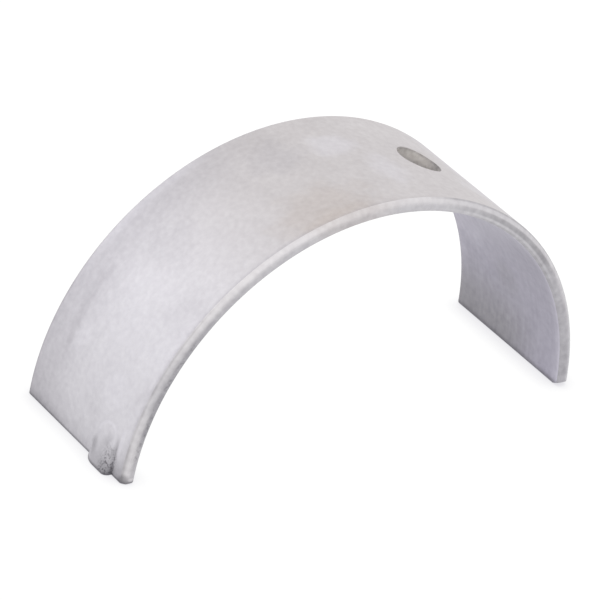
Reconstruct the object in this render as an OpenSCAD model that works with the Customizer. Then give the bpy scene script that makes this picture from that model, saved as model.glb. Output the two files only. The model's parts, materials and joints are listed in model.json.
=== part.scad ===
// Engine bearing shell: one half of a plain split bearing, shown sprung open as it is before it is
// pressed into its housing. The origin is in the parting plane, midway between the parting faces and
// midway along the shell. +Y runs along the journal and +Z points to the top of the arch.

/* [Shell] */
// Bore of the housing that the shell is pressed into
housing_d = 55; // [46:0.5:70]
// Wall thickness of the shell
wall = 1.5; // [1.3:0.05:2.2]
// Width of the shell along the journal
shell_w = 18.5; // [15:0.5:28]
// How much wider than its housing the free shell springs open
free_spread = 1.04; // [0.3:0.02:2]

/* [Edges] */
// Chamfer where a side meets the back
back_chamfer = 0.45; // [0.2:0.05:0.6]
// Chamfer where a side meets the bore
bore_chamfer = 0.25; // [0.1:0.05:0.4]
// Chamfer round each parting face
parting_chamfer = 0.2; // [0.1:0.05:0.3]
// Width clipped off the front corner of the plain foot
corner_w = 1.05; // [0.4:0.05:2]
// Height clipped off the front corner of the plain foot
corner_h = 0.55; // [0.3:0.05:1]

/* [Locating tang] */
// Distance from the front side to the sheared side of the tang
tang_inset = 2.15; // [1.5:0.05:4]
// Width of the tang at the parting face
tang_w = 4.15; // [3.8:0.05:6]
// Width of the tang's level crown, from its sheared side to the start of its round end
tang_crown = 2.2; // [1.2:0.05:2.6]
// Rounding of the tang's sheared edge
tang_edge = 0.6; // [0.3:0.05:0.8]
// Height of the tang above the back at the parting face
tang_rise = 0.92; // [0.5:0.02:1.1]
// Length of the tang up the back
tang_len = 4.85; // [3.5:0.05:6]

/* [Oil hole] */
// Diameter of the oil hole
hole_d = 5; // [3:0.1:7]
// Angle of the oil hole from the top of the arch, away from the tang
hole_angle = 20.6; // [0:0.2:60]
// Distance of the oil hole from the middle of the width, towards the rear side
hole_offset = 0.3; // [-2:0.1:2]

/* [Hidden] */
$fn = 180;

// How far a cut reaches past the face that it opens
cut_over = 1;

// The free shell keeps the arc length that fills half of the housing, on a larger radius
back_r = (housing_d + free_spread) / 2;
bore_r = back_r - wall;
half_angle = 90 * (housing_d / 2) / back_r;
axis_drop = back_r * cos(half_angle);
back_foot_x = sqrt(back_r ^ 2 - axis_drop ^ 2);
bore_foot_x = sqrt(bore_r ^ 2 - axis_drop ^ 2);
side_y = shell_w / 2;

// The tang's crown line leaves the back at tang_len and stands tang_rise proud at the parting plane
tang_shear_y = tang_inset - side_y;
tang_round_y = tang_shear_y + tang_crown;
tang_top_angle = 90 - half_angle + tang_len / back_r * 180 / PI;
tang_top_x = back_r * cos(tang_top_angle);
tang_top_z = back_r * sin(tang_top_angle) - axis_drop;
tang_end_x = back_foot_x + tang_rise;
tang_tilt = atan2(tang_end_x - tang_top_x, tang_top_z);
// Radius of the round end that falls from the crown to the back over the rest of the tang's width
tang_fade_w = tang_w - tang_crown;
tang_sag = tang_rise * cos(tang_tilt);
tang_r = (tang_fade_w ^ 2 + tang_sag ^ 2) / (2 * tang_sag);
// Along the crown line, from the parting plane to its point nearest to the shell's axis
tang_bar_len = tang_end_x * sin(tang_tilt) - axis_drop * cos(tang_tilt);

// Section of the wall, with the radius along X and the width along Y
module wall_section() {
    polygon([
        [bore_r + bore_chamfer, -side_y], [back_r - back_chamfer, -side_y],
        [back_r, -side_y + back_chamfer], [back_r, side_y - back_chamfer],
        [back_r - back_chamfer, side_y], [bore_r + bore_chamfer, side_y],
        [bore_r, side_y - bore_chamfer], [bore_r, -side_y + bore_chamfer]
    ]);
}

// Everything below the parting plane
module below_parting_plane() {
    span = 2 * (back_r + tang_rise + cut_over);
    translate([-span / 2, -side_y - cut_over, -span])
        cube([span, shell_w + 2 * cut_over, span]);
}

// Square bars set on edge, which cut the chamfers round the parting faces
module parting_edges() {
    bar = parting_chamfer * sqrt(2);
    for (side = [-1, 1], edge_x = [back_foot_x, bore_foot_x])
        translate([side * edge_x, 0, 0])
            rotate([0, 45, 0])
                cube([bar, shell_w + 2 * cut_over, bar], center = true);
    for (side = [-1, 1])
        translate([0, side * side_y, 0])
            rotate([45, 0, 0])
                cube([2 * (back_r + cut_over), bar, bar], center = true);
}

// Wedge that clips the front corner of the plain foot
module corner_clip() {
    translate([bore_foot_x - cut_over, -side_y, 0])
        rotate([90, 0, 90])
            linear_extrude(wall + 2 * cut_over)
                polygon([[2 * corner_w, -corner_h], [-corner_w, 2 * corner_h], [-corner_w, -corner_h]]);
}

// Half ring on the shell's own axis, cut off square at the parting plane
module arch() {
    difference() {
        translate([0, 0, -axis_drop])
            rotate([90, 0, 0])
                rotate_extrude()
                    wall_section();
        below_parting_plane();
        parting_edges();
        corner_clip();
    }
}

// Section across the tang, with X into the wall: a level crown between the sheared edge and the round end
module tang_section() {
    circle(r = tang_r);
    translate([tang_edge - tang_r, tang_edge - tang_crown])
        circle(r = tang_edge);
    translate([tang_edge - tang_r, -tang_crown])
        square([tang_r - tang_edge, tang_crown]);
    translate([-tang_r, tang_edge - tang_crown])
        square([tang_r, tang_crown - tang_edge]);
}

// Bar of the tang's section along its crown line, cut off square at the sheared side and the parting plane
module tang_bar(inset) {
    intersection() {
        translate([-tang_end_x, tang_round_y, 0])
            rotate([0, tang_tilt, 0])
                translate([tang_r + inset, 0, -tang_bar_len])
                    linear_extrude(2 * tang_bar_len)
                        tang_section();
        translate([-tang_end_x - cut_over, tang_shear_y, 0])
            cube([tang_end_x, shell_w, 2 * tang_bar_len]);
    }
}

// Tongue of the wall that the punch presses out, from the middle of the wall outwards
module tang_tongue() {
    difference() {
        tang_bar(0);
        translate([0, 0, -axis_drop])
            rotate([90, 0, 0])
                cylinder(r = back_r - wall / 2, h = shell_w, center = true);
    }
}

// Pocket that the punch leaves in the bore, one wall thickness behind the tongue
module tang_pocket() {
    tang_bar(wall);
}

// Hole drilled through the wall towards the shell's axis
module oil_hole() {
    translate([0, hole_offset, -axis_drop])
        rotate([0, hole_angle, 0])
            cylinder(d = hole_d, h = back_r + cut_over);
}

module bearing_shell() {
    color("lightgray")
        difference() {
            union() {
                arch();
                tang_tongue();
            }
            tang_pocket();
            oil_hole();
        }
}

bearing_shell();
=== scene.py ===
"""Engine bearing shell: one half of a plain split bearing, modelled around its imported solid."""

import json
import math

import bmesh
import bpy
from bpy.props import FloatProperty, FloatVectorProperty, IntProperty, PointerProperty
from mathutils import Matrix, Vector


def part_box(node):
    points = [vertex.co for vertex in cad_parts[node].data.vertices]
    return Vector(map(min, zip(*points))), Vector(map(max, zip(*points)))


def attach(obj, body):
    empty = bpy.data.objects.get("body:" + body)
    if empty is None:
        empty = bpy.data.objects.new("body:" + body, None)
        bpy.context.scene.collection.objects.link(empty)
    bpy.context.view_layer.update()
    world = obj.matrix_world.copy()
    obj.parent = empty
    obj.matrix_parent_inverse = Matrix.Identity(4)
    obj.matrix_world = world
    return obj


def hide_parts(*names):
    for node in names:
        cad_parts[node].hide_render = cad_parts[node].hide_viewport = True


bl_info = {
    "name": "Bearing Shell",
    "version": (1, 0, 0),
    "blender": (4, 5, 0),
    "location": "View3D > Sidebar > Bearing",
    "description": "Models a half shell of a plain bearing, with an oil hole and a locating tang",
    "category": "Add Mesh",
}

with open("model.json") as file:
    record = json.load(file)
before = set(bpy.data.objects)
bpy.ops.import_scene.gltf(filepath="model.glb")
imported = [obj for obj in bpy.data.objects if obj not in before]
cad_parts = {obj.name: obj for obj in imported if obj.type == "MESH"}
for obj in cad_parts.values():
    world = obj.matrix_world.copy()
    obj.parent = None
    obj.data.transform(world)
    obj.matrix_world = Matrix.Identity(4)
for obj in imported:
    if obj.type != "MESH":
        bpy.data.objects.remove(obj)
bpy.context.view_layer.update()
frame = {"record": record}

# Modelling is done in millimetres, and the finished mesh is scaled to metres
MM = 0.001
# Two points nearer than this are the same point
NEAR = 1e-3
# A point nearer than this to a cutting plane lies in it
IN_PLANE = 1e-5
# Rows of faces across a rounded edge
ROUND_ROWS = 3
# A face whose normal is this upright is one of the level parting faces
LEVEL = 0.98
# Faces that meet at less than this angle are shaded as one surface
SMOOTH_ANGLE = math.radians(32)
NODE = "bearing_shell"
MOUNTS = {mount["name"]: mount for mount in frame["record"]["mounts"]}

# The shell's own axis lies a little below the parting plane, because the free shell is sprung open
AXIS_DROP = -MOUNTS["journal_seat"]["pos_m"][2] / MM
BORE_R = MOUNTS["journal_seat"]["dims"]["r_mm"]
BACK_R = MOUNTS["housing_back"]["pos_m"][2] / MM + AXIS_DROP
WALL = BACK_R - BORE_R
MID_R = (BORE_R + BACK_R) / 2
FOOT_X = math.sqrt(BACK_R ** 2 - AXIS_DROP ** 2)
HOLE_AXIS = Vector(MOUNTS["oil_hole"]["axis"])
HOLE_R = MOUNTS["oil_hole"]["dims"]["r_mm"]
HOLE_Y = MOUNTS["oil_hole"]["pos_m"][1] / MM
TANG_RISE = -MOUNTS["locating_tang"]["pos_m"][0] / MM - FOOT_X


def shell_width():
    """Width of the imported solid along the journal."""
    low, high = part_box(NODE)
    return high[1] - low[1]


class BearingShellSizes(bpy.types.PropertyGroup):
    """Sizes of the shell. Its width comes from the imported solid, and the rest are set here."""

    width: FloatProperty(
        name="Width", description="Width of the shell along the journal",
        default=shell_width(), unit="LENGTH", precision=5)
    back_chamfer: FloatProperty(
        name="Back chamfer", description="Chamfer where a side meets the back",
        default=0.45 * MM, unit="LENGTH", precision=5)
    bore_chamfer: FloatProperty(
        name="Bore chamfer", description="Chamfer where a side meets the bore",
        default=0.25 * MM, unit="LENGTH", precision=5)
    parting_round: FloatProperty(
        name="Parting edge", description="Softened edge round each parting face",
        default=0.2 * MM, unit="LENGTH", precision=5)
    edge_round: FloatProperty(
        name="Tumbled edge", description="Softening of the chamfers' corners by tumbling",
        default=0.14 * MM, unit="LENGTH", precision=5)
    tang_inset: FloatProperty(
        name="Tang inset", description="Distance from the front side to the tang's sheared side",
        default=2.15 * MM, unit="LENGTH", precision=5)
    tang_width: FloatProperty(
        name="Tang width", description="Width of the tang at the parting face",
        default=4.15 * MM, unit="LENGTH", precision=5)
    tang_crown: FloatProperty(
        name="Tang crown", description="Width of the level crown, from sheared side to round end",
        default=2.2 * MM, unit="LENGTH", precision=5)
    tang_edge: FloatProperty(
        name="Tang edge", description="Rounding of the tang's sheared edge",
        default=0.6 * MM, unit="LENGTH", precision=5)
    tang_length: FloatProperty(
        name="Tang length", description="Length of the tang up the back",
        default=4.85 * MM, unit="LENGTH", precision=5)
    tang_blend: FloatProperty(
        name="Tang blend", description="Softness of the line where the tang fades into the back",
        default=0.05 * MM, unit="LENGTH", precision=5)
    corner_width: FloatProperty(
        name="Clipped corner width", description="Width cut off the plain foot's front corner",
        default=1.05 * MM, unit="LENGTH", precision=5)
    corner_height: FloatProperty(
        name="Clipped corner height", description="Height cut off the plain foot's front corner",
        default=0.55 * MM, unit="LENGTH", precision=5)
    hole_edge: FloatProperty(
        name="Oil hole edge", description="Deburred edge at both mouths of the oil hole",
        default=0.1 * MM, unit="LENGTH", precision=5)
    arc_steps: IntProperty(
        name="Steps round the arc", description="Rows of faces in the half turn",
        default=144, min=48)
    columns: IntProperty(
        name="Columns", description="Rows of faces across the width, an odd number",
        default=29, min=15)


def select_none():
    """Leaves nothing selected, so that the next operator acts only on what it makes."""
    bpy.ops.object.select_all(action="DESELECT")


def pick(obj, kind, test):
    """Selects, in edit mode, only the verts, edges or faces that pass the test."""
    bpy.ops.mesh.select_mode(type={"verts": "VERT", "edges": "EDGE", "faces": "FACE"}[kind])
    bpy.ops.mesh.select_all(action="DESELECT")
    mesh = bmesh.from_edit_mesh(obj.data)
    for element in getattr(mesh, kind):
        element.select_set(test(element))
    mesh.select_flush_mode()
    bmesh.update_edit_mesh(obj.data)


def middle(element):
    """Centre of an edge or a face."""
    return sum((vert.co for vert in element.verts), Vector()) / len(element.verts)


def radius(point):
    """Distance of a point from the shell's axis."""
    return math.hypot(point.x, point.z + AXIS_DROP)


def turn(point):
    """Angle of a point round the shell's axis, from the plain foot."""
    return math.atan2(point.z + AXIS_DROP, point.x)


def wall_section(sizes):
    """Chamfered section of the wall, lying level beside the axis, with its corners tumbled."""
    half = sizes.width / MM / 2
    bpy.ops.mesh.primitive_grid_add(
        x_subdivisions=1, y_subdivisions=sizes.columns, size=1, location=(MID_R, 0, -AXIS_DROP))
    shell = bpy.context.object
    shell.scale = (WALL, 2 * half, 1)
    bpy.ops.object.transform_apply(location=True, rotation=True, scale=True)
    bpy.ops.object.mode_set(mode="EDIT")
    corners = []
    for edge_r, inward, chamfer in (
            (BACK_R, -1, sizes.back_chamfer / MM), (BORE_R, 1, sizes.bore_chamfer / MM)):
        pick(shell, "verts", lambda vert: math.hypot(
            vert.co.x - edge_r, abs(vert.co.y) - half) < NEAR)
        bpy.ops.mesh.bevel(offset=chamfer, segments=1, affect="VERTICES")
        corners += [(edge_r, half - chamfer), (edge_r + inward * chamfer, half)]
    pick(shell, "verts", lambda vert: any(
        math.hypot(vert.co.x - x, abs(vert.co.y) - y) < NEAR for x, y in corners))
    bpy.ops.mesh.bevel(offset=sizes.edge_round / MM, segments=ROUND_ROWS, affect="VERTICES")
    return shell


def spin_arch(shell, sizes):
    """Turns the section through half a circle and cuts both feet off square at the parting plane."""
    bpy.ops.mesh.select_all(action="SELECT")
    bpy.ops.mesh.spin(
        steps=sizes.arc_steps, angle=math.pi, center=(0, 0, -AXIS_DROP), axis=(0, 1, 0))
    bpy.ops.mesh.select_all(action="SELECT")
    bpy.ops.mesh.bisect(
        plane_co=(0, 0, 0), plane_no=(0, 0, 1), use_fill=True, clear_inner=True, threshold=IN_PLANE)
    bpy.ops.mesh.select_all(action="SELECT")
    bpy.ops.mesh.normals_make_consistent(inside=False)


def drill_oil_hole(shell, sizes):
    """Opens a square patch in the back and in the bore, and lays rings of faces round each mouth."""
    hole_turn = math.atan2(HOLE_AXIS.z, HOLE_AXIS.x)
    tangent = Vector((-HOLE_AXIS.z, 0, HOLE_AXIS.x))
    axis_point = Vector((0, 0, -AXIS_DROP))
    step = math.pi / sizes.arc_steps
    column = sizes.width / MM / sizes.columns
    # The patch is a square of whole faces, and its reach takes in the points on its border
    patch_rows = 11
    border = 0.1
    reach = patch_rows / 2 + border
    patch_turn = (math.floor(hole_turn / step) + 0.5) * step
    patch_y = round(HOLE_Y / column) * column
    # The ring round the hole has a point for each one on that border, half a step further round
    ring_count = 4 * patch_rows
    ring_turn = Matrix.Rotation(math.pi / ring_count, 3, "Z")
    ring_cuts = 2

    def in_patch(point):
        in_turn = abs(turn(point) - patch_turn) < reach * step
        return in_turn and abs(point.y - patch_y) < reach * column

    def on_wall(point, wall_r):
        return abs(radius(point) - wall_r) < WALL / 4

    for wall_r in (BACK_R, BORE_R):
        pick(shell, "faces", lambda face: in_patch(middle(face)) and on_wall(middle(face), wall_r))
        bpy.ops.mesh.delete(type="FACE")
        bpy.ops.mesh.select_all(action="DESELECT")
        bpy.ops.mesh.primitive_circle_add(vertices=ring_count, radius=HOLE_R)
        mesh = bmesh.from_edit_mesh(shell.data)
        for vert in mesh.verts:
            if vert.select:
                place = ring_turn @ vert.co
                height = math.sqrt(wall_r ** 2 - place.x ** 2)
                vert.co = axis_point + tangent * place.x + HOLE_AXIS * height
                vert.co.y = HOLE_Y + place.y
        bmesh.update_edit_mesh(shell.data)
        pick(shell, "edges", lambda edge: len(edge.link_faces) < 2 and in_patch(middle(edge))
             and on_wall(middle(edge), wall_r))
        bpy.ops.mesh.bridge_edge_loops(number_cuts=ring_cuts, interpolation="LINEAR")
        mesh = bmesh.from_edit_mesh(shell.data)
        for vert in mesh.verts:
            if in_patch(vert.co) and on_wall(vert.co, wall_r):
                spoke = Vector((vert.co.x, 0, vert.co.z + AXIS_DROP)).normalized() * wall_r
                vert.co = Vector((spoke.x, vert.co.y, spoke.z - AXIS_DROP))
        bmesh.update_edit_mesh(shell.data)
    pick(shell, "edges", lambda edge: len(edge.link_faces) < 2 and in_patch(middle(edge)))
    bpy.ops.mesh.bridge_edge_loops()

    def on_rim(vert):
        offset = vert.co - axis_point - Vector((0, HOLE_Y, 0))
        from_axis = (offset - HOLE_AXIS * offset.dot(HOLE_AXIS)).length
        return abs(from_axis - HOLE_R) < NEAR and in_patch(vert.co)

    pick(shell, "edges", lambda edge: all(on_rim(vert) for vert in edge.verts)
         and abs(radius(edge.verts[0].co) - radius(edge.verts[1].co)) < WALL / 2)
    bpy.ops.mesh.bevel(offset=sizes.hole_edge / MM, segments=ROUND_ROWS, affect="EDGES")


def clip_corner(shell, sizes):
    """Cuts the front corner of the plain foot off aslant."""
    front_y = -sizes.width / 2 / MM
    height = sizes.corner_height / MM
    pick(shell, "faces", lambda face: middle(face).x > 0 and middle(face).z < 2 * height)
    bpy.ops.mesh.bisect(
        plane_co=(0, front_y, height), plane_no=(0, -sizes.corner_height, -sizes.corner_width),
        use_fill=True, clear_outer=True, threshold=IN_PLANE)


def soften_feet(shell, sizes):
    """Breaks the edges round both parting faces."""
    pick(shell, "edges", lambda edge: all(abs(vert.co.z) < NEAR for vert in edge.verts))
    bpy.ops.mesh.bevel(offset=sizes.parting_round / MM, segments=ROUND_ROWS, affect="EDGES")


def tang_depth(point, sizes):
    """How far the punch presses a point of the wall outwards."""
    inside = point.y - (sizes.tang_inset - sizes.width / 2) / MM
    length = sizes.tang_length / MM
    up = max(point.z, 0)
    if point.x > 0 or inside < NEAR or up > 2 * length:
        return 0
    edge = sizes.tang_edge / MM
    fade = (sizes.tang_width - sizes.tang_crown) / MM
    end_r = (fade ** 2 + TANG_RISE ** 2) / (2 * TANG_RISE)
    in_edge = max(edge - inside, 0)
    past_crown = min(max(inside - sizes.tang_crown / MM, 0), end_r)
    # The crown line runs straight down to the foot, and the back bows out under it
    height = TANG_RISE * (1 - up / length) - up * max(length - up, 0) / (2 * BACK_R)
    height -= edge - math.sqrt(edge ** 2 - in_edge ** 2)
    height -= end_r - math.sqrt(end_r ** 2 - past_crown ** 2)
    blend = sizes.tang_blend / MM
    return (height + math.hypot(height, blend)) / 2


def press_tang(shell, sizes):
    """Refines the wall at the front of one foot and presses the tang out of it."""
    shear_y = (sizes.tang_inset - sizes.width / 2) / MM
    fade_y = shear_y + sizes.tang_width / MM
    # The wall is refined a little past the tang, with rows that follow its rounded edge
    margin = 0.6
    top = sizes.tang_length / MM + 2 * margin
    cuts = 3
    edge_rows = 6

    def pick_zone():
        def in_zone(face):
            place = middle(face)
            return (place.x < 0 and place.z < top and shear_y - margin < place.y < fade_y + margin
                    and abs(face.normal.z) < LEVEL)
        pick(shell, "faces", in_zone)

    pick_zone()
    bpy.ops.mesh.subdivide(number_cuts=cuts)
    for row in range(edge_rows + 1):
        inside = sizes.tang_edge / MM * (1 - math.cos(math.pi / 2 * row / edge_rows))
        pick_zone()
        bpy.ops.mesh.bisect(
            plane_co=(0, shear_y + inside, 0), plane_no=(0, 1, 0), threshold=IN_PLANE)
    # Faces beside the refined ones have spare points on an edge, and get one in their middle
    pick(shell, "faces", lambda face: middle(face).x < 0 and len(face.verts) > 4
         and abs(face.normal.z) < LEVEL)
    bpy.ops.mesh.poke()
    bpy.ops.object.mode_set(mode="OBJECT")
    group = shell.vertex_groups.new(name="pressed tang")
    for vert in shell.data.vertices:
        depth = tang_depth(vert.co, sizes)
        if depth > 0:
            group.add([vert.index], min(depth / TANG_RISE, 1), "REPLACE")
    press = shell.modifiers.new("press", "DISPLACE")
    press.direction = "X"
    press.mid_level = 0
    press.strength = -TANG_RISE
    press.vertex_group = group.name
    bpy.ops.object.modifier_apply(modifier=press.name)
    shell.vertex_groups.clear()


def finish_mesh(shell):
    """Scales the shell to metres, and shades its faces smooth up to its true edges."""
    shell.scale = (MM, MM, MM)
    bpy.ops.object.transform_apply(location=True, rotation=True, scale=True)
    bpy.ops.object.shade_smooth_by_angle(angle=SMOOTH_ANGLE)
    weighted = shell.modifiers.new("flat faces stay flat", "WEIGHTED_NORMAL")
    weighted.keep_sharp = True
    bpy.ops.object.modifier_apply(modifier=weighted.name)


def linear(hex_colour):
    """Linear red, green and blue of an sRGB hex colour, with full alpha."""
    shares = [int(hex_colour[i:i + 2], 16) / 255 for i in (1, 3, 5)]
    return (*(s / 12.92 if s <= 0.04045 else ((s + 0.055) / 1.055) ** 2.4 for s in shares), 1)


class BearingShellFinish(bpy.types.PropertyGroup):
    """Colours and roughness of the plated back, the overlay, the cut faces and the oil hole."""

    plating: FloatVectorProperty(
        name="Plating", description="Tin flash on the top of the back",
        default=linear("#d1cdce"), size=4, subtype="COLOR")
    cool_plating: FloatVectorProperty(
        name="Cool plating", description="Lilac cast of the tin flash towards both feet",
        default=linear("#d2d0d5"), size=4, subtype="COLOR")
    # Also painted shade along the rear side of the back
    dull_and_shaded_plating: FloatVectorProperty(
        name="Dull plating", description="Dulled tin flash along the rear side and in clouds",
        default=linear("#b4b1b7"), size=4, subtype="COLOR")
    # Also the painted highlights round the tang's nose and beside it
    rubbed_and_lit_plating: FloatVectorProperty(
        name="Rubbed plating", description="Tin flash rubbed bright by the tang and in clouds",
        default=linear("#e2e0e6"), size=4, subtype="COLOR")
    stain: FloatVectorProperty(
        name="Stain", description="Warm handling stain near the front of the top",
        default=linear("#c6bbb4"), size=4, subtype="COLOR")
    # Also painted shade at the feet, in the tang's creases, on the sides and in the oil hole
    grime_and_shade: FloatVectorProperty(
        name="Grime", description="Grey grime at the feet, tang, sides and oil hole",
        default=linear("#6f6d72"), size=4, subtype="COLOR")
    # Painted shade: the sides darker towards the feet
    faced_low_shaded: FloatVectorProperty(
        name="Faced side, low", description="Faced steel of the sides near the feet",
        default=linear("#b1afb4"), size=4, subtype="COLOR")
    # Painted light: the sides lighter towards the top of the arch
    faced_high_lit: FloatVectorProperty(
        name="Faced side, high", description="Faced steel of the sides near the top of the arch",
        default=linear("#cdcbcf"), size=4, subtype="COLOR")
    # Painted sheen on the chamfers, dimmer near the feet
    chamfer_sheen_low: FloatVectorProperty(
        name="Chamfer, low", description="Cut of the chamfers near the feet",
        default=linear("#cac8cc"), size=4, subtype="COLOR")
    # Painted sheen on the chamfers, brighter higher up
    chamfer_sheen_high: FloatVectorProperty(
        name="Chamfer, high", description="Bright cut of the chamfers higher up",
        default=linear("#e0dddf"), size=4, subtype="COLOR")
    overlay: FloatVectorProperty(
        name="Overlay", description="Soft metal overlay of the bore",
        default=linear("#aeabb7"), size=4, subtype="COLOR")
    # Painted light high in the bore and towards its front edge
    pale_and_lit_overlay: FloatVectorProperty(
        name="Light overlay", description="Paler overlay along both edges and high in the bore",
        default=linear("#d0cdd8"), size=4, subtype="COLOR")
    # Painted shade low at the rear of the bore
    shaded_overlay: FloatVectorProperty(
        name="Worn overlay", description="Darker overlay low at the rear of the bore",
        default=linear("#98969b"), size=4, subtype="COLOR")
    # The grime laid over it is painted shade
    drilled: FloatVectorProperty(
        name="Drilled wall", description="Steel in the oil hole, without its grime",
        default=linear("#ddd9d6"), size=4, subtype="COLOR")
    plating_roughness: FloatProperty(
        name="Plating roughness", description="Roughness of the tumbled plating",
        default=0.6, min=0, max=1, subtype="FACTOR")
    cut_roughness: FloatProperty(
        name="Cut roughness", description="Roughness of the faced sides and the chamfers",
        default=0.5, min=0, max=1, subtype="FACTOR")
    drilled_roughness: FloatProperty(
        name="Drilled roughness", description="Roughness of the oil hole's wall",
        default=0.85, min=0, max=1, subtype="FACTOR")
    overlay_roughness: FloatProperty(
        name="Overlay roughness", description="Roughness of the bored overlay",
        default=0.5, min=0, max=1, subtype="FACTOR")


def add_node(tree, kind, inputs=None, **settings):
    """Adds one shader node with its settings, and links or fills the inputs that are given."""
    node = tree.nodes.new(kind)
    for name, value in settings.items():
        setattr(node, name, value)
    for socket, value in (inputs or {}).items():
        if isinstance(value, bpy.types.NodeSocket):
            tree.links.new(value, node.inputs[socket])
        else:
            node.inputs[socket].default_value = value
    return node


def per_mm(size):
    """Texture scale at which one pattern cell measures this many millimetres."""
    return 1 / (size * MM)


def new_material(name):
    """An empty node material, its tree and its surface socket."""
    material = bpy.data.materials.new(name)
    material.use_nodes = True
    tree = material.node_tree
    tree.nodes.clear()
    output = add_node(tree, "ShaderNodeOutputMaterial")
    return material, tree, output.inputs["Surface"]


def shell_place(tree):
    """A place on the shell, with its lengths X, Y and Z, and its reach R from the shell's axis."""
    place = add_node(tree, "ShaderNodeTexCoord").outputs["Object"]
    parts = add_node(tree, "ShaderNodeSeparateXYZ", {"Vector": place}).outputs
    spoke = add_node(tree, "ShaderNodeVectorMath", {
        0: place, 1: (1, 0, 1), 2: (0, 0, AXIS_DROP * MM)}, operation="MULTIPLY_ADD")
    reach = add_node(tree, "ShaderNodeVectorMath", {
        0: spoke.outputs["Vector"]}, operation="LENGTH").outputs["Value"]
    return place, {"X": parts["X"], "Y": parts["Y"], "Z": parts["Z"], "R": reach}


def band(tree, lengths, strength, *limits):
    """Factor that grows to its strength as each named length passes between two limits, in mm."""
    factor = strength
    for name, none, full in limits:
        share = add_node(tree, "ShaderNodeMapRange", {
            "Value": lengths[name], "From Min": none * MM, "From Max": full * MM},
            interpolation_type="SMOOTHSTEP").outputs["Result"]
        factor = add_node(tree, "ShaderNodeMath", {
            0: share, 1: factor}, operation="MULTIPLY").outputs["Value"]
    return factor


# Shift of the edge of a spot that isn't ragged
EVEN = (0, 0, 0)


def spot(tree, place, ragged, strength, centre, radii, lean=0):
    """Factor of a soft spot in an ellipsoid, in mm and degrees, that leans about the journal."""
    # Share of its reach over which the spot keeps its full strength
    core = 0.3
    local = add_node(tree, "ShaderNodeMapping", {
        "Vector": place, "Location": Vector(centre) * MM, "Rotation": (0, math.radians(lean), 0),
        "Scale": Vector(radii) * MM}, vector_type="TEXTURE").outputs["Vector"]
    shifted = add_node(tree, "ShaderNodeVectorMath", {
        0: local, 1: ragged}, operation="ADD").outputs["Vector"]
    distance = add_node(tree, "ShaderNodeVectorMath", {
        0: shifted}, operation="LENGTH").outputs["Value"]
    return add_node(tree, "ShaderNodeMapRange", {
        "Value": distance, "From Min": 1, "From Max": core, "To Max": strength},
        interpolation_type="SMOOTHSTEP").outputs["Result"]


def specks(tree, place, cell, strength):
    """Factor of small specks of one size in millimetres, strewn over about a third of the surface."""
    # Levels of the noise at which a speck starts to show and is solid
    clear, solid = 0.47, 0.7
    clouds = add_node(tree, "ShaderNodeTexNoise", {"Vector": place, "Scale": per_mm(cell), "Detail": 1})
    return add_node(tree, "ShaderNodeMapRange", {
        "Value": clouds.outputs["Fac"], "From Min": clear, "From Max": solid,
        "To Max": strength}).outputs["Result"]


def uneven(tree, place, cell, level):
    """Roughness that wanders a little about its level, in clouds of one size in millimetres."""
    # Largest change as a share of the level, and the levels between which most of the noise lies
    share = 0.1
    low, high = 0.3, 0.7
    clouds = add_node(tree, "ShaderNodeTexNoise", {"Vector": place, "Scale": per_mm(cell), "Detail": 3})
    return add_node(tree, "ShaderNodeMapRange", {
        "Value": clouds.outputs["Fac"], "From Min": low, "From Max": high,
        "To Min": (1 - share) * level, "To Max": (1 + share) * level}).outputs["Result"]


def coat(tree, tone, layers):
    """Lays each colour over the tone as strongly as its factor says."""
    for colour, factor in layers:
        tone = add_node(tree, "ShaderNodeMix", {"Factor": factor, "A": tone, "B": colour},
                        data_type="RGBA").outputs["Result"]
    return tone


def mottle(tree, place, tone, cell, strength):
    """The tone made a little lighter and darker by clouds of one size in millimetres."""
    clouds = add_node(tree, "ShaderNodeTexNoise", {"Vector": place, "Scale": per_mm(cell), "Detail": 3})
    return add_node(tree, "ShaderNodeMix", {"Factor": strength, "A": tone, "B": clouds.outputs["Fac"]},
                    data_type="RGBA", blend_type="SOFT_LIGHT").outputs["Result"]


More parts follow.
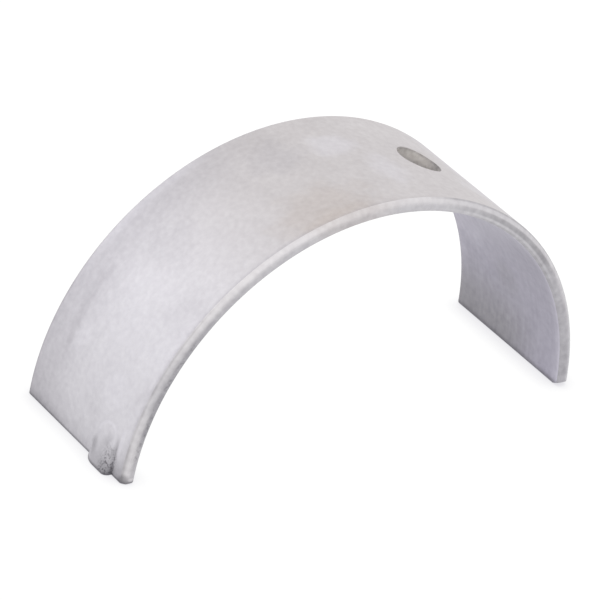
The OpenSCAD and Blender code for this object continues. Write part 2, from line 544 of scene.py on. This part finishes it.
def tinned_steel(finish):
    """Tin-flashed steel strip, tumbled: matt and pale, with faint clouds, grain and handling marks,
    painted shade at the feet and rear side, and painted shade and highlights round the tang.
    """
    material, tree, surface = new_material("tinned steel")
    place, lengths = shell_place(tree)
    # The noise lies about a half, which is taken off so that it shifts a spot's edge both ways
    wander = add_node(tree, "ShaderNodeTexNoise", {"Vector": place, "Scale": per_mm(2.5), "Detail": 3})
    ragged = add_node(tree, "ShaderNodeVectorMath", {
        0: wander.outputs["Color"], 1: (-0.5, -0.5, -0.5)}, operation="ADD").outputs["Vector"]
    dirt = specks(tree, place, 0.22, 1)
    pale_clouds = [spot(tree, place, ragged, *cloud) for cloud in (
        (0.4, (0.1, 3, 27.2), (4, 3, 3)),
        (0.35, (3.4, -2.6, 27), (3, 4, 3)),
        (0.2, (13.9, -3.9, 23.5), (2.5, 2.5, 2.5)),
        (0.25, (-26.7, -4.2, 7.6), (2, 2.5, 3)),
        (0.25, (-25.9, 3.7, 9.2), (1.5, 1.4, 2.5)))]
    dull_clouds = [spot(tree, place, ragged, *cloud) for cloud in (
        (0.2, (-18.6, 1.3, 20.2), (4, 4, 4)),
        (0.16, (-21.4, -6.5, 17.2), (4, 4, 4)),
        (0.25, (-6, 3.2, 26.5), (4, 4, 3)),
        (0.16, (-26.2, -7.9, 9), (1.5, 1.2, 2.5)),
        (0.18, (-27.4, -1.7, 4.8), (1.5, 2, 2)))]
    # N is the reach from the middle of the tang's nose
    nose = Vector((-27.7, -5.35, 3.2))
    lengths["N"] = add_node(tree, "ShaderNodeVectorMath", {
        0: place, 1: nose * MM}, operation="DISTANCE").outputs["Value"]
    tang_leg = ("X", -20, -25)
    tone = coat(tree, finish.plating, [
        # Lilac cast towards both feet
        (finish.cool_plating, band(tree, lengths, 1, ("X", -6, -25))),
        (finish.cool_plating, band(tree, lengths, 0.8, ("X", 12, 20))),
        # Painted shade along the rear side, and dulled in a streak there and along the front edge by
        # the stain
        (finish.dull_and_shaded_plating, band(tree, lengths, 0.6, ("X", 0, -20), ("Y", 0, 9.5))),
        (finish.dull_and_shaded_plating, spot(tree, place, ragged, 0.35, (-24.6, 5.6, 12.5), (1.5, 0.9, 7), 30)),
        (finish.dull_and_shaded_plating, spot(tree, place, ragged, 0.25, (-26.2, 5.2, 9), (1.2, 0.7, 3), 15)),
        (finish.dull_and_shaded_plating, band(tree, lengths, 0.4, ("Y", -8.2, -8.8), ("X", 1, -4))),
        (finish.dull_and_shaded_plating, band(tree, lengths, 0.5, ("Y", 8.4, 8.7), ("X", -22, -26))),
        # Rubbed along the rear edge, with faint clouds left by tumbling
        (finish.rubbed_and_lit_plating, band(tree, lengths, 0.28, ("Y", 7.2, 8.4),
                                     ("X", -9, -14), ("X", -25, -21))),
        *((finish.rubbed_and_lit_plating, cloud) for cloud in pale_clouds),
        *((finish.dull_and_shaded_plating, cloud) for cloud in dull_clouds),
        # Warm stain near the front of the top, strongest at the edge
        (finish.stain, spot(tree, place, ragged, 0.33, (-7, -6.5, 26.3), (8, 5, 6))),
        (finish.stain, spot(tree, place, ragged, 0.3, (-6.5, -8.5, 26.3), (5, 2, 3))),
        # Painted shade at the feet and over the tang, darkest in the angle at its sheared side, with
        # grime specks there
        (finish.grime_and_shade, band(tree, lengths, 0.1, ("Z", 5, 1))),
        (finish.grime_and_shade, band(tree, lengths, 0.17, ("Z", 2, 0))),
        (finish.grime_and_shade, band(tree, lengths, 0.8, ("Z", 0.5, 0.1))),
        (finish.grime_and_shade, band(tree, lengths, 0.25, ("Z", 1.3, 0.2), ("Y", 1, 5))),
        (finish.grime_and_shade, spot(tree, place, ragged, 0.22, (-28.2, -5.6, 0.5), (3, 2.5, 4.8))),
        (finish.grime_and_shade, band(tree, lengths, 0.13, tang_leg, ("Z", 4.5, 0.5),
                            ("Y", -6.2, -6.9), ("Y", -7.7, -7.1))),
        (finish.grime_and_shade, band(tree, lengths, 0.25, tang_leg, ("Z", 4.4, 3.4), ("Z", 1.5, 2.5),
                            ("Y", -6.75, -7), ("Y", -7.35, -7.15))),
        (finish.grime_and_shade, band(tree, lengths, dirt, tang_leg, ("Z", 4, 0.8),
                            ("Y", -5.2, -6.5), ("Y", -7.8, -7.1))),
        (finish.grime_and_shade, band(tree, lengths, 0.25, tang_leg, ("Z", 2, 0.6),
                            ("Y", -5.2, -6.3), ("Y", -7.4, -7))),
        (finish.grime_and_shade, band(tree, lengths, 0.25, tang_leg, ("Z", 3, 0), ("Y", -7.2, -8))),
        (finish.grime_and_shade, spot(tree, place, ragged, 0.28, (-28.1, -3.9, 1.6), (1.4, 0.9, 1.4))),
        (finish.grime_and_shade, spot(tree, place, ragged, 0.14, (-27.8, -5.7, 3.3), (1.2, 0.9, 1))),
        # Painted highlights round the tang's nose, at its sheared edge and on the strip beside it
        (finish.rubbed_and_lit_plating, band(tree, lengths, 0.32, ("N", 1.35, 1.6), ("N", 1.9, 1.7),
                                     ("Z", 2.8, 3.5), ("Y", -6.8, -6))),
        (finish.rubbed_and_lit_plating, spot(tree, place, ragged, 0.25, (-27.9, -6.5, 3.3), (0.8, 0.8, 0.8))),
        (finish.rubbed_and_lit_plating, band(tree, lengths, 0.4, tang_leg, ("Z", 1.5, 3), ("Z", 6, 4.5),
                                     ("Y", -7.2, -7.5), ("Y", -8, -7.7))),
        # Painted shade at the front corner of the tang foot
        (finish.grime_and_shade, spot(tree, place, ragged, 0.6, (-28, -8.7, 0.2), (1.1, 1, 1.1)))])
    tone = mottle(tree, place, tone, 4, 0.3)
    tone = mottle(tree, place, tone, 0.6, 0.3)
    # The tumbled grain is finer than this, and is drawn as coarse as it needs to show
    grain = add_node(tree, "ShaderNodeTexNoise", {"Vector": place, "Scale": per_mm(0.4), "Detail": 2})
    bump = add_node(tree, "ShaderNodeBump", {
        "Height": grain.outputs["Fac"], "Strength": 0.25, "Distance": 0.05 * MM})
    shader = add_node(tree, "ShaderNodeBsdfPrincipled", {
        "Base Color": tone, "Metallic": 1, "Normal": bump.outputs["Normal"],
        "Roughness": uneven(tree, place, 4, finish.plating_roughness)})
    tree.links.new(shader.outputs["BSDF"], surface)
    return material


def bearing_overlay(finish):
    """Soft grey overlay of the bore: duller and bluer than the back, with fine lines along the cut,
    painted light high up and at the front, and painted shade low at the rear.
    """
    material, tree, surface = new_material("bearing overlay")
    place, lengths = shell_place(tree)
    tone = coat(tree, finish.overlay, [
        # Painted light towards the front edge, most on the plain shoulder, and high up; paler along the
        # rear edge and in a spot
        (finish.pale_and_lit_overlay, band(tree, lengths, 0.3, ("Y", -7.5, -8.7))),
        (finish.pale_and_lit_overlay, band(tree, lengths, 0.5, ("X", 8, 13), ("Y", -8.5, -8.9))),
        (finish.pale_and_lit_overlay, band(tree, lengths, 0.32, ("Y", 7, 8.7))),
        (finish.pale_and_lit_overlay, band(tree, lengths, 0.42, ("Z", 9, 18), ("Y", -8, 3))),
        (finish.pale_and_lit_overlay, band(tree, lengths, 0.9, ("Z", 14, 21))),
        (finish.pale_and_lit_overlay, spot(tree, place, EVEN, 0.32, (23.3, 6.4, 11.9), (3, 4, 4))),
        # Painted shade low at the rear, in a patch above and along the feet
        (finish.shaded_overlay, band(tree, lengths, 1, ("Z", 9, 0.5), ("Y", -7.5, 1.5))),
        (finish.shaded_overlay, spot(tree, place, EVEN, 0.3, (24.8, 0.2, 8.5), (3, 3, 3))),
        (finish.grime_and_shade, band(tree, lengths, 0.7, ("Z", 0.8, 0.1)))])
    tone = mottle(tree, place, tone, 3, 0.25)
    tone = mottle(tree, place, tone, 0.8, 0.3)
    # Boring leaves finer lines round the bore than this, drawn as coarse as they need to show
    stretch = 0.05
    cut = add_node(tree, "ShaderNodeMapping", {
        "Vector": place, "Scale": (stretch, 1, stretch)}).outputs["Vector"]
    tone = mottle(tree, cut, tone, 0.4, 0.15)
    lines = add_node(tree, "ShaderNodeTexNoise", {"Vector": cut, "Scale": per_mm(0.4), "Detail": 2})
    bump = add_node(tree, "ShaderNodeBump", {
        "Height": lines.outputs["Fac"], "Strength": 0.1, "Distance": 0.03 * MM})
    shader = add_node(tree, "ShaderNodeBsdfPrincipled", {
        "Base Color": tone, "Metallic": 1, "Normal": bump.outputs["Normal"],
        "Roughness": uneven(tree, place, 3, finish.overlay_roughness)})
    tree.links.new(shader.outputs["BSDF"], surface)
    return material


def faced_steel(finish):
    """Faced steel of the sides and feet: a duller grey, brightened by a painted sheen where the
    chamfers are cut, with painted light higher up and painted shade at the feet.
    """
    material, tree, surface = new_material("faced steel")
    place, lengths = shell_place(tree)
    dirt = specks(tree, place, 0.35, 0.5)
    # Painted shade on the sides near the feet, fading to painted light towards the top of the arch
    face = coat(tree, finish.faced_low_shaded, [(finish.faced_high_lit, band(tree, lengths, 1, ("Z", 8, 26)))])
    # Painted sheen on the chamfers, brighter higher up
    cut = coat(tree, finish.chamfer_sheen_low, [(finish.chamfer_sheen_high, band(tree, lengths, 1, ("Z", 4, 18)))])
    # Limits that several layers share
    tang_leg = ("X", -10, -20)
    back_chamfer = ("R", BACK_R - 0.85, BACK_R - 0.15)
    back_line = ("R", BACK_R - 0.2, BACK_R - 0.05)
    tone = coat(tree, face, [
        # Cut of the back chamfer in its painted sheen, and a painted highlight low on the tang leg
        (cut, band(tree, lengths, 1, back_chamfer)),
        (finish.chamfer_sheen_high, band(tree, lengths, 0.5, tang_leg, ("Z", 9, 7),
                                   ("R", BORE_R + 0.6, BORE_R + 0.95))),
        (finish.chamfer_sheen_high, band(tree, lengths, 0.3, tang_leg, ("Z", 6, 3.5))),
        # Duller higher up that leg and on the other shoulder
        (finish.faced_low_shaded, band(tree, lengths, 0.2, ("X", -18, -22), ("Z", 9, 11), ("Z", 17, 13))),
        (finish.faced_high_lit, band(tree, lengths, 0.6, ("X", 5, 10), back_chamfer)),
        # Less painted shade low on the plain leg, and stained at the top like the back beside it
        (finish.faced_high_lit, band(tree, lengths, 0.1, ("X", 12, 18), ("Z", 2, 8))),
        (finish.stain, spot(tree, place, EVEN, 0.25, (-5.2, -9.2, 26.4), (7, 3, 4))),
        # Grime specks on the side of the tang leg, and darker bands on the other shoulder, across the
        # side and by the bore
        (finish.grime_and_shade, band(tree, lengths, dirt, tang_leg, ("Z", 5, 8), ("Z", 18, 14),
                            ("R", BORE_R + 0.25, BORE_R + 0.4), ("R", BACK_R - 0.5, BACK_R - 0.9))),
        (finish.grime_and_shade, band(tree, lengths, dirt, tang_leg, ("Z", 2, 3), ("Z", 8, 6),
                            ("R", BORE_R + 0.3, BORE_R + 0.45), ("R", BORE_R + 0.95, BORE_R + 0.75))),
        (finish.grime_and_shade, band(tree, lengths, 0.4, ("X", 3, 17), ("Z", 13, 17),
                            ("R", BORE_R + 0.4, BORE_R + 0.6), ("R", BACK_R - 0.4, BACK_R - 0.6))),
        (finish.grime_and_shade, band(tree, lengths, 0.2, ("X", 8, 13), ("Z", 11, 15),
                            ("R", BORE_R + 0.3, BORE_R + 0.2))),
        # Rear edge dulled on the tang's side
        (finish.dull_and_shaded_plating, band(tree, lengths, 0.6, ("X", 2, -4), ("Y", 8.4, 8.8),
                                   ("R", BACK_R - 0.3, BACK_R - 0.1))),
        # Painted shade in a dark line between the chamfer and the back on both legs, broadest at the
        # tang foot
        (finish.grime_and_shade, band(tree, lengths, 0.24, ("X", -17, -24), back_line)),
        (finish.grime_and_shade, band(tree, lengths, 0.2, ("X", -20, -25), ("Z", 6, 2),
                            ("R", BACK_R - 0.4, BACK_R - 0.1))),
        (finish.grime_and_shade, band(tree, lengths, 0.3, ("X", 3, 8), back_line)),
        # Painted shade at the feet, most at the front corner of the tang foot, with a painted highlight
        # beside it
        (finish.grime_and_shade, band(tree, lengths, 0.7, ("Z", 0.6, 0.1))),
        (finish.grime_and_shade, spot(tree, place, EVEN, 0.6, (-27.95, -9.1, 0.4), (1, 1, 1))),
        (finish.chamfer_sheen_high, spot(tree, place, EVEN, 0.6, (-27, -9.2, 0.5), (0.5, 0.5, 0.3)))])
    tone = mottle(tree, place, tone, 0.7, 0.5)
    shader = add_node(tree, "ShaderNodeBsdfPrincipled", {
        "Base Color": tone, "Metallic": 1,
        "Roughness": uneven(tree, place, 2, finish.cut_roughness)})
    tree.links.new(shader.outputs["BSDF"], surface)
    return material


def drilled_steel(finish):
    """Drilled wall of the oil hole: rough warm grey steel, with painted shade at its two mouths and on
    its wall.
    """
    material, tree, surface = new_material("drilled steel")
    place, lengths = shell_place(tree)
    tone = coat(tree, finish.drilled, [
        # Painted shade at both mouths, and at the front and the rear of the wall
        (finish.grime_and_shade, band(tree, lengths, 0.2, ("R", BACK_R - 0.3, BACK_R - 0.1))),
        (finish.grime_and_shade, band(tree, lengths, 0.22, ("R", BORE_R + 0.8, BORE_R + 0.3))),
        (finish.grime_and_shade, spot(tree, place, EVEN, 0.4, (11.6, -1, 24.6), (2.8, 2.8, 2.8))),
        (finish.grime_and_shade, spot(tree, place, EVEN, 0.17, (8.7, 2.3, 25.6), (2.7, 2.7, 2.7)))])
    tone = mottle(tree, place, tone, 0.5, 0.7)
    shader = add_node(tree, "ShaderNodeBsdfPrincipled", {
        "Base Color": tone, "Metallic": 1, "Roughness": finish.drilled_roughness})
    tree.links.new(shader.outputs["BSDF"], surface)
    return material


def dress_shell(shell, sizes, finish):
    """Gives the back, the bore, the cut faces and the oil hole their own finish."""
    finishes = (tinned_steel, bearing_overlay, faced_steel, drilled_steel)
    back, bore, faced, drilled = range(len(finishes))
    for make in finishes:
        shell.data.materials.append(make(finish))
    # A face of the back or the bore has at least this share of its normal along its spoke
    along_spoke = 0.93
    # A face looks down or sideways when more than this share of its normal does
    turned = 0.5
    hole_foot = Vector((0, HOLE_Y, -AXIS_DROP))
    hole_reach = HOLE_R + sizes.hole_edge / MM / 2
    tang_y = (sizes.tang_inset + sizes.tang_width / 2 - sizes.width / 2) / MM
    for face in shell.data.polygons:
        place = face.center / MM
        lift = face.normal.dot(Vector((place.x, 0, place.z + AXIS_DROP)).normalized())
        from_hole = place - hole_foot
        depth = from_hole.dot(HOLE_AXIS)
        in_hole = depth > 0 and (from_hole - HOLE_AXIS * depth).length < hole_reach
        on_tang = (place.x < 0 and place.z < sizes.tang_length / MM
                   and abs(place.y - tang_y) < sizes.tang_width / MM / 2)
        on_foot = face.normal.z < -turned and place.z < sizes.corner_height / MM
        if in_hole:
            face.material_index = drilled
        elif on_foot or abs(lift) < along_spoke and not on_tang:
            face.material_index = faced
        else:
            face.material_index = back if lift > 0 or abs(face.normal.y) > turned else bore


class OBJECT_OT_bearing_shell(bpy.types.Operator):
    """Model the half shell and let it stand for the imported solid"""

    bl_idname = "object.bearing_shell"
    bl_label = "Bearing Shell"

    def execute(self, context):
        sizes = context.scene.bearing_shell_sizes
        select_none()
        shell = wall_section(sizes)
        spin_arch(shell, sizes)
        drill_oil_hole(shell, sizes)
        clip_corner(shell, sizes)
        soften_feet(shell, sizes)
        press_tang(shell, sizes)
        finish_mesh(shell)
        dress_shell(shell, sizes, context.scene.bearing_shell_finish)
        shell.name = "half_shell"
        shell.data.name = "half_shell"
        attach(shell, "root")
        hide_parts(NODE)
        return {"FINISHED"}


WHITE = linear("#ffffff")
# Width of the camera's sensor in millimetres, and the nearest that it sees, in metres
SENSOR_W = 36
CLIP_START = 0.01
# Side of the floor in metres, and how far it lies below the feet
FLOOR_SIDE = 4
FLOOR_DROP = 0.02 * MM
# Each lamp with its place, its width and height in metres, and the setting that holds its power
LAMPS = (
    ("key", (-0.9, 0.85, 0.65), (1.8, 1.1), "key_power"),
    ("rear fill", (0.9, 0.9, 0.45), (0.8, 0.6), "rear_power"),
    ("front fill", (-0.2, -0.8, 0.8), (0.7, 0.5), "front_power"))


class BearingShellStage(bpy.types.PropertyGroup):
    """Camera, lamps and backdrop."""

    lens: FloatProperty(
        name="Lens", description="Focal length in millimetres",
        default=256.2, unit="CAMERA")
    azimuth: FloatProperty(
        name="Azimuth", description="Camera's turn from looking along the journal",
        default=math.radians(-38.96), subtype="ANGLE")
    elevation: FloatProperty(
        name="Elevation", description="Camera's height above the floor as an angle",
        default=math.radians(29.59), subtype="ANGLE")
    roll: FloatProperty(
        name="Roll", description="Camera's lean about its line of sight",
        default=math.radians(10.25), subtype="ANGLE")
    distance: FloatProperty(
        name="Distance", description="From the camera to its aim",
        default=442.4 * MM, unit="LENGTH")
    aim: FloatVectorProperty(
        name="Aim", description="Point at the middle of the picture",
        default=(1.27 * MM, 4.65 * MM, 7.77 * MM), size=3, subtype="XYZ", unit="LENGTH")
    ambient: FloatProperty(
        name="Ambient", description="Level of the white room round the stage", default=0.8, min=0)
    key_power: FloatProperty(
        name="Key lamp", description="Power of the large lamp behind the tang foot",
        default=3.8, min=0, unit="POWER")
    rear_power: FloatProperty(
        name="Rear fill lamp", description="Power of the lamp behind the plain foot",
        default=0.15, min=0, unit="POWER")
    front_power: FloatProperty(
        name="Front fill lamp", description="Power of the lamp above the camera",
        default=0.5, min=0, unit="POWER")
    paper: FloatVectorProperty(
        name="Paper", description="White paper of the floor, as it lights the shell",
        default=linear("#e7e7e7"), size=4, subtype="COLOR")
    lit_paper: FloatVectorProperty(
        name="Lit paper", description="Share of the lamps' light that shows on the floor",
        default=linear("#5c5c5a"), size=4, subtype="COLOR")
    backdrop: FloatVectorProperty(
        name="Backdrop", description="White of the floor away from the shell",
        default=linear("#fafafa"), size=4, subtype="COLOR")
    contact: FloatVectorProperty(
        name="Contact shadow", description="Floor in the deepest shadow, beside the feet",
        default=linear("#d3d2d8"), size=4, subtype="COLOR")
    contact_reach: FloatProperty(
        name="Contact reach", description="Reach of the deepest shadow from the feet",
        default=2.6 * MM, unit="LENGTH", precision=5)


def add_camera(stage):
    """Camera at the photograph's viewing angle."""
    camera_data = bpy.data.cameras.new("camera")
    camera_data.lens = stage.lens
    camera_data.sensor_width = SENSOR_W
    camera_data.clip_start = CLIP_START
    camera = bpy.data.objects.new("camera", camera_data)
    bpy.context.collection.objects.link(camera)
    back = Vector((
        math.sin(stage.azimuth) * math.cos(stage.elevation),
        -math.cos(stage.azimuth) * math.cos(stage.elevation),
        math.sin(stage.elevation)))
    level = Vector((math.cos(stage.azimuth), math.sin(stage.azimuth), 0))
    upright = back.cross(level)
    right = level * math.cos(stage.roll) + upright * math.sin(stage.roll)
    up = back.cross(right)
    turned = Matrix((right, up, back)).transposed().to_4x4()
    camera.matrix_world = Matrix.Translation(Vector(stage.aim) + back * stage.distance) @ turned
    bpy.context.scene.camera = camera


def seen_directly(tree):
    """One for camera, mirror and glass rays, which see the white backdrop, and nought for the rest."""
    ray = add_node(tree, "ShaderNodeLightPath").outputs
    seen = ray["Is Camera Ray"]
    for kind in ("Is Glossy Ray", "Is Transmission Ray"):
        seen = add_node(tree, "ShaderNodeMath", {
            0: seen, 1: ray[kind]}, operation="MAXIMUM").outputs["Value"]
    return seen


def white_paper(stage):
    """Matt white paper: seen directly it is the white of the backdrop, dimmed in the shell's shadow."""
    material, tree, surface = new_material("white paper")
    paper = add_node(tree, "ShaderNodeBsdfDiffuse", {"Color": stage.paper})
    lit = add_node(tree, "ShaderNodeBsdfDiffuse", {"Color": stage.lit_paper})
    near_feet = add_node(tree, "ShaderNodeAmbientOcclusion", {"Distance": stage.contact_reach})
    tone = coat(tree, stage.contact, [(stage.backdrop, near_feet.outputs["AO"])])
    glow = add_node(tree, "ShaderNodeEmission", {"Color": tone})
    shown = add_node(tree, "ShaderNodeAddShader", {
        0: lit.outputs["BSDF"], 1: glow.outputs["Emission"]})
    mixed = add_node(tree, "ShaderNodeMixShader", {
        0: seen_directly(tree), 1: paper.outputs["BSDF"], 2: shown.outputs["Shader"]})
    tree.links.new(mixed.outputs["Shader"], surface)
    return material


def add_floor(stage):
    """Plain white floor that the shell stands on."""
    select_none()
    bpy.ops.mesh.primitive_plane_add(size=FLOOR_SIDE, location=(0, 0, -FLOOR_DROP))
    floor = bpy.context.object
    floor.name = "floor"
    floor.data.materials.append(white_paper(stage))


def light_room(stage):
    """White room: full white where it is seen, with a plain ambient level for the light it gives."""
    world = bpy.data.worlds.new("white room")
    world.use_nodes = True
    bpy.context.scene.world = world
    tree = world.node_tree
    tree.nodes.clear()
    room = add_node(tree, "ShaderNodeBackground", {"Color": WHITE, "Strength": stage.ambient})
    seen = add_node(tree, "ShaderNodeBackground", {"Color": WHITE, "Strength": 1})
    mixed = add_node(tree, "ShaderNodeMixShader", {
        0: seen_directly(tree), 1: room.outputs["Background"], 2: seen.outputs["Background"]})
    output = add_node(tree, "ShaderNodeOutputWorld")
    tree.links.new(mixed.outputs["Shader"], output.inputs["Surface"])


def add_lamp(name, place, size, power):
    """Oblong soft lamp that faces the shell."""
    lamp_data = bpy.data.lights.new(name, "AREA")
    lamp_data.shape = "RECTANGLE"
    lamp_data.size, lamp_data.size_y = size
    lamp_data.energy = power
    lamp = bpy.data.objects.new(name, lamp_data)
    bpy.context.collection.objects.link(lamp)
    place = Vector(place)
    facing = place.to_track_quat("Z", "Y").to_matrix().to_4x4()
    lamp.matrix_world = Matrix.Translation(place) @ facing


class SCENE_OT_bearing_stage(bpy.types.Operator):
    """Set up the floor, the room, the lamps and the camera"""

    bl_idname = "scene.bearing_stage"
    bl_label = "Bearing Stage"

    def execute(self, context):
        stage = context.scene.bearing_shell_stage
        context.scene.view_settings.view_transform = "Standard"
        add_floor(stage)
        light_room(stage)
        for name, place, size, power in LAMPS:
            add_lamp(name, place, size, getattr(stage, power))
        add_camera(stage)
        return {"FINISHED"}


class VIEW3D_PT_bearing_shell(bpy.types.Panel):
    """Lists the settings and the steps"""

    bl_label = "Bearing Shell"
    bl_space_type = "VIEW_3D"
    bl_region_type = "UI"
    bl_category = "Bearing"

    def draw(self, context):
        groups = ("bearing_shell_sizes", "bearing_shell_finish", "bearing_shell_stage")
        for group in groups:
            settings = getattr(context.scene, group)
            box = self.layout.box()
            for name in settings.__annotations__:
                box.prop(settings, name)
        for operator in (OBJECT_OT_bearing_shell, SCENE_OT_bearing_stage):
            self.layout.operator(operator.bl_idname)


CLASSES = (
    BearingShellSizes, BearingShellFinish, BearingShellStage,
    OBJECT_OT_bearing_shell, SCENE_OT_bearing_stage, VIEW3D_PT_bearing_shell)


def register():
    for item in CLASSES:
        bpy.utils.register_class(item)
    bpy.types.Scene.bearing_shell_sizes = PointerProperty(type=BearingShellSizes)
    bpy.types.Scene.bearing_shell_finish = PointerProperty(type=BearingShellFinish)
    bpy.types.Scene.bearing_shell_stage = PointerProperty(type=BearingShellStage)


def unregister():
    del bpy.types.Scene.bearing_shell_stage
    del bpy.types.Scene.bearing_shell_finish
    del bpy.types.Scene.bearing_shell_sizes
    for item in reversed(CLASSES):
        bpy.utils.unregister_class(item)


def main():
    register()
    bpy.ops.object.bearing_shell()
    bpy.ops.scene.bearing_stage()


if __name__ == "__main__":
    main()
